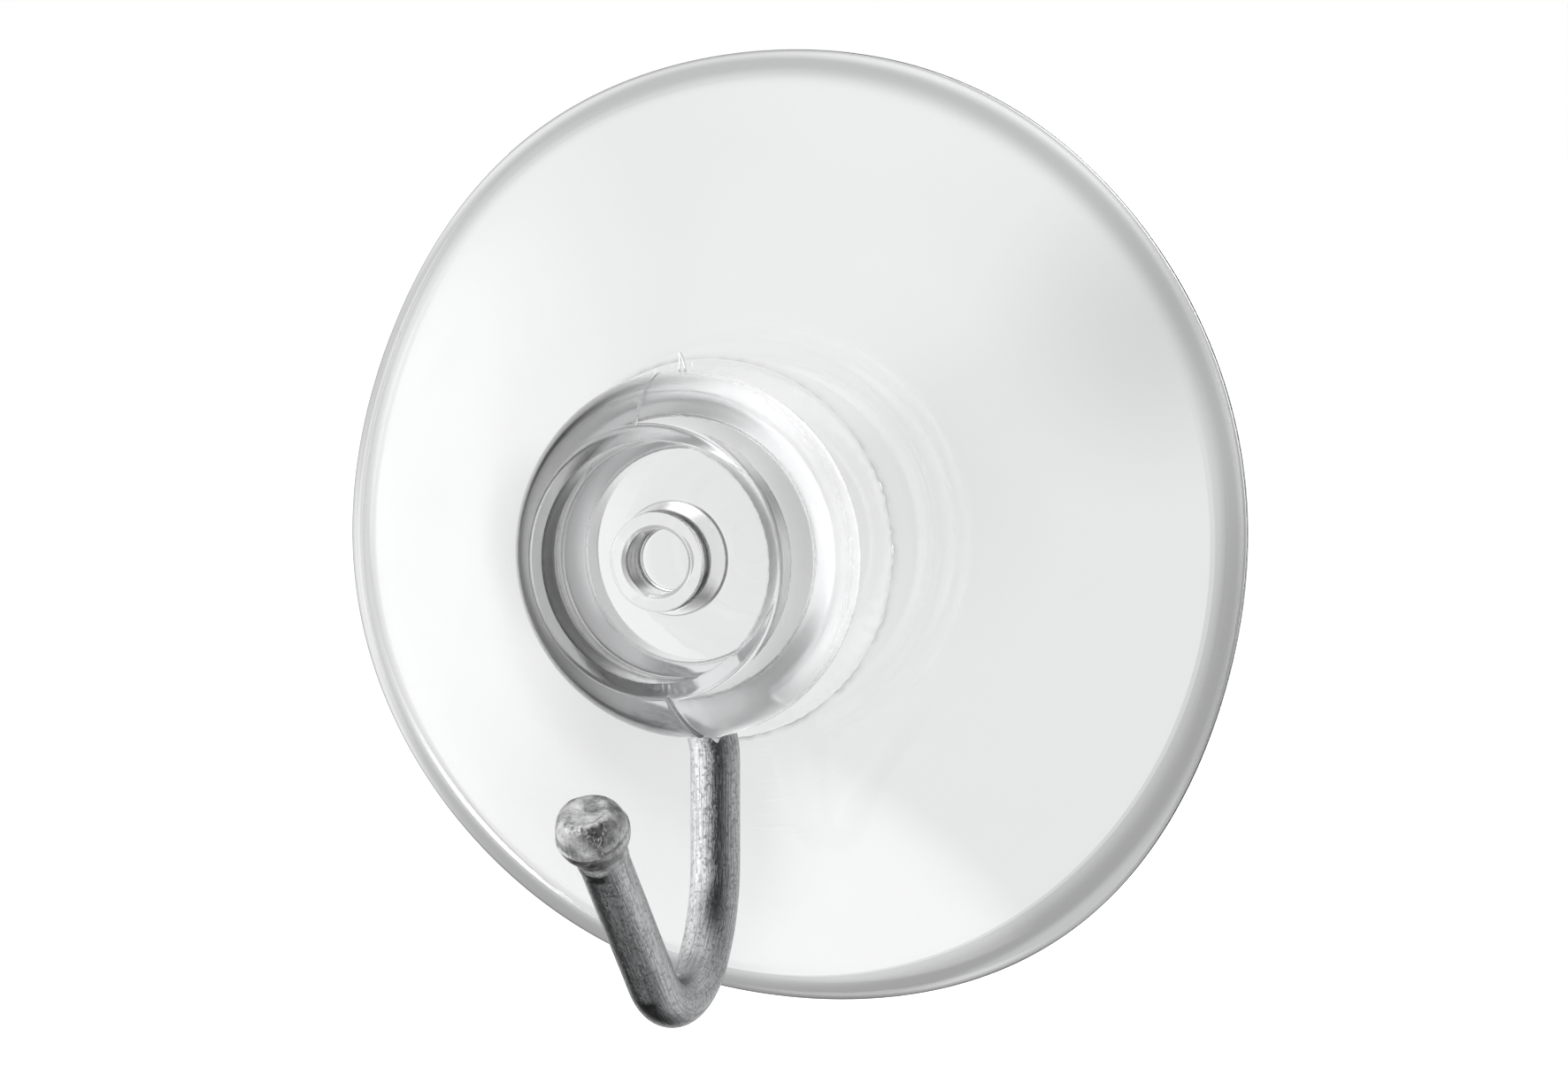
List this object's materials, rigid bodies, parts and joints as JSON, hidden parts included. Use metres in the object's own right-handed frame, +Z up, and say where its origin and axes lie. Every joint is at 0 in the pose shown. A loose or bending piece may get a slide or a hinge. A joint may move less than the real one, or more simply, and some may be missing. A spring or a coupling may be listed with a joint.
{
  "type": "suction cup hook",
  "caption": "Clear moulded suction cup with a mushroom head and a bent steel wire hook snapped round its neck, with a ball tip.",
  "frame": {"origin": "centre of the cup's rim in the plane of the wall it holds on", "axes": "+Z up, -Y out from the wall towards the user, +Y into the wall along the cup's axis, X along the wall"},
  "size_m": [0.045, 0.0267, 0.045],
  "materials": {
    "clear_plastic": "glossy clear soft plastic",
    "plated_wire": "bright plated drawn wire"
  },
  "bodies": {
    "cup": {"suction_cup": "clear_plastic"},
    "hook": {"wire_hook": "plated_wire"}
  },
  "joints": [
    {"name": "hook_swivel", "type": "hinge", "parent": "cup", "child": "hook", "pos_m": [0, 0, 0], "axis": [0, -1, 0], "continuous": true}
  ]
}
